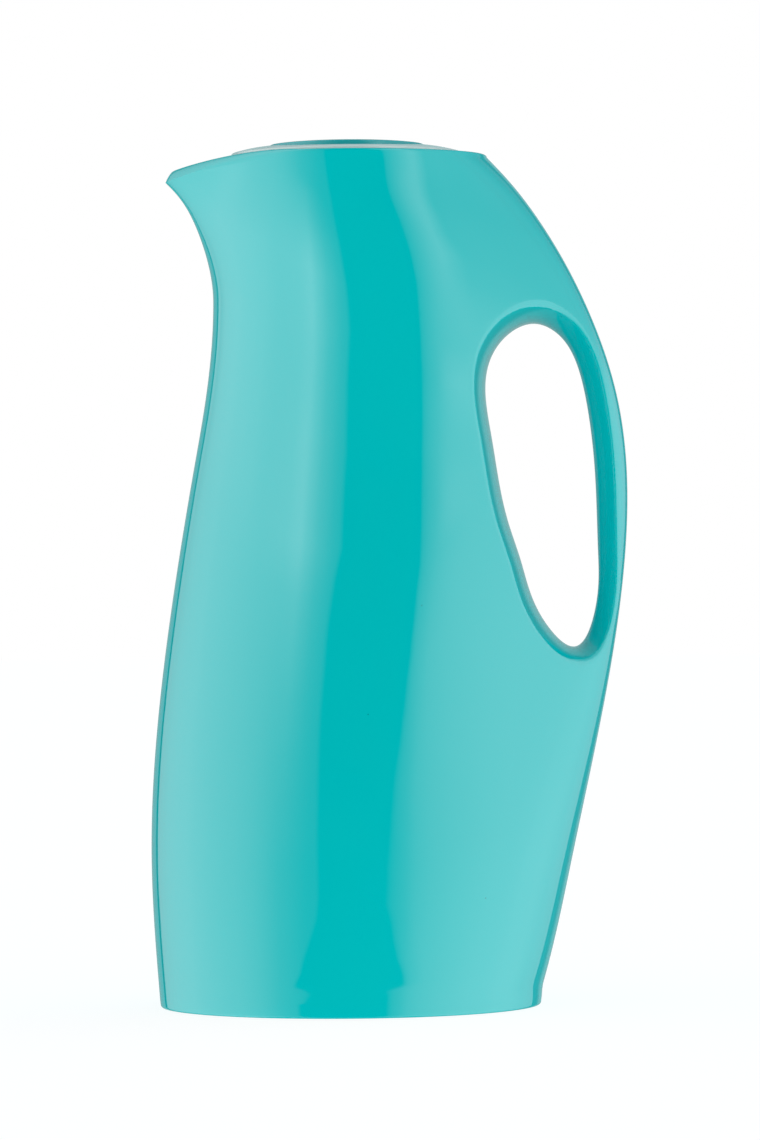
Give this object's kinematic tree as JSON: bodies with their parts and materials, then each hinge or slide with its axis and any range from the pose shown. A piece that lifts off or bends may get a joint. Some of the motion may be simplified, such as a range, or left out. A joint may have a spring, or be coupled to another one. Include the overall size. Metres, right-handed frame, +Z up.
{
  "type": "insulated jug",
  "caption": "Tall vacuum jug with a beak spout, a loop handle grown out of its glossy shell, a screw stopper with a push button, and a silvered glass liner.",
  "frame": {"origin": "on the neck's axis at floor level, 1 mm under the middle of the recessed base", "axes": "+Z up, -X along the spout, +X towards the handle, +Y away from the picture's camera"},
  "size_m": [0.1596, 0.1332, 0.2875],
  "materials": {
    "teal_gloss": "high gloss",
    "pale_gloss": "gloss",
    "pale_plastic": "satin",
    "grey_plastic": "satin",
    "silicone": "matt",
    "rubber": "matt",
    "silvered_glass": "silvered",
    "clear_glass": "clear",
    "spacer_felt": "felt",
    "steel": "drawn wire"
  },
  "bodies": {
    "jug": {"body_shell": "teal_gloss", "pour_collar": "pale_plastic", "neck_gasket": "silicone", "liner_outer_glass": "silvered_glass", "liner_inner_glass": "silvered_glass", "liner_seal_tip": "clear_glass", "liner_spacer_1": "spacer_felt", "liner_spacer_2": "spacer_felt", "liner_spacer_3": "spacer_felt"},
    "stopper_seat": {"stopper_gasket": "silicone"},
    "stopper": {"lid_ring": "pale_gloss", "stopper_barrel": "pale_plastic", "stem_guide": "pale_plastic"},
    "button": {"push_button": "teal_gloss", "valve_stem": "steel", "valve_plate": "pale_plastic", "valve_seal": "silicone", "valve_nut": "steel", "return_spring": "steel"},
    "base_seat": {"base_cushion": "rubber"},
    "base": {"base_cap": "grey_plastic"}
  },
  "joints": [
    {"name": "stopper_lift", "type": "slide", "parent": "jug", "child": "stopper_seat", "axis": [0, 0, 1], "range_m": [0, 0.072]},
    {"name": "stopper_turn", "type": "hinge", "parent": "stopper_seat", "child": "stopper", "pos_m": [0, 0, 0.26], "axis": [0, 0, 1], "range_deg": [0, 1080]},
    {"name": "button_press", "type": "slide", "parent": "stopper", "child": "button", "axis": [0, 0, -1], "range_m": [0, 0.005], "stiffness_N_per_m": 1500, "springref_m": -0.002, "deforming": ["return_spring"]},
    {"name": "base_drop", "type": "slide", "parent": "jug", "child": "base_seat", "axis": [0, 0, -1], "range_m": [0, 0.018]},
    {"name": "base_turn", "type": "hinge", "parent": "base_seat", "child": "base", "pos_m": [0, 0, 0.005], "axis": [0, 0, -1], "range_deg": [0, 1080]}
  ],
  "couplings": [
    {"joint": "stopper_lift", "follows": "stopper_turn", "m_per_rad": 0.0038197},
    {"joint": "base_drop", "follows": "base_turn", "m_per_rad": 0.00095493}
  ]
}
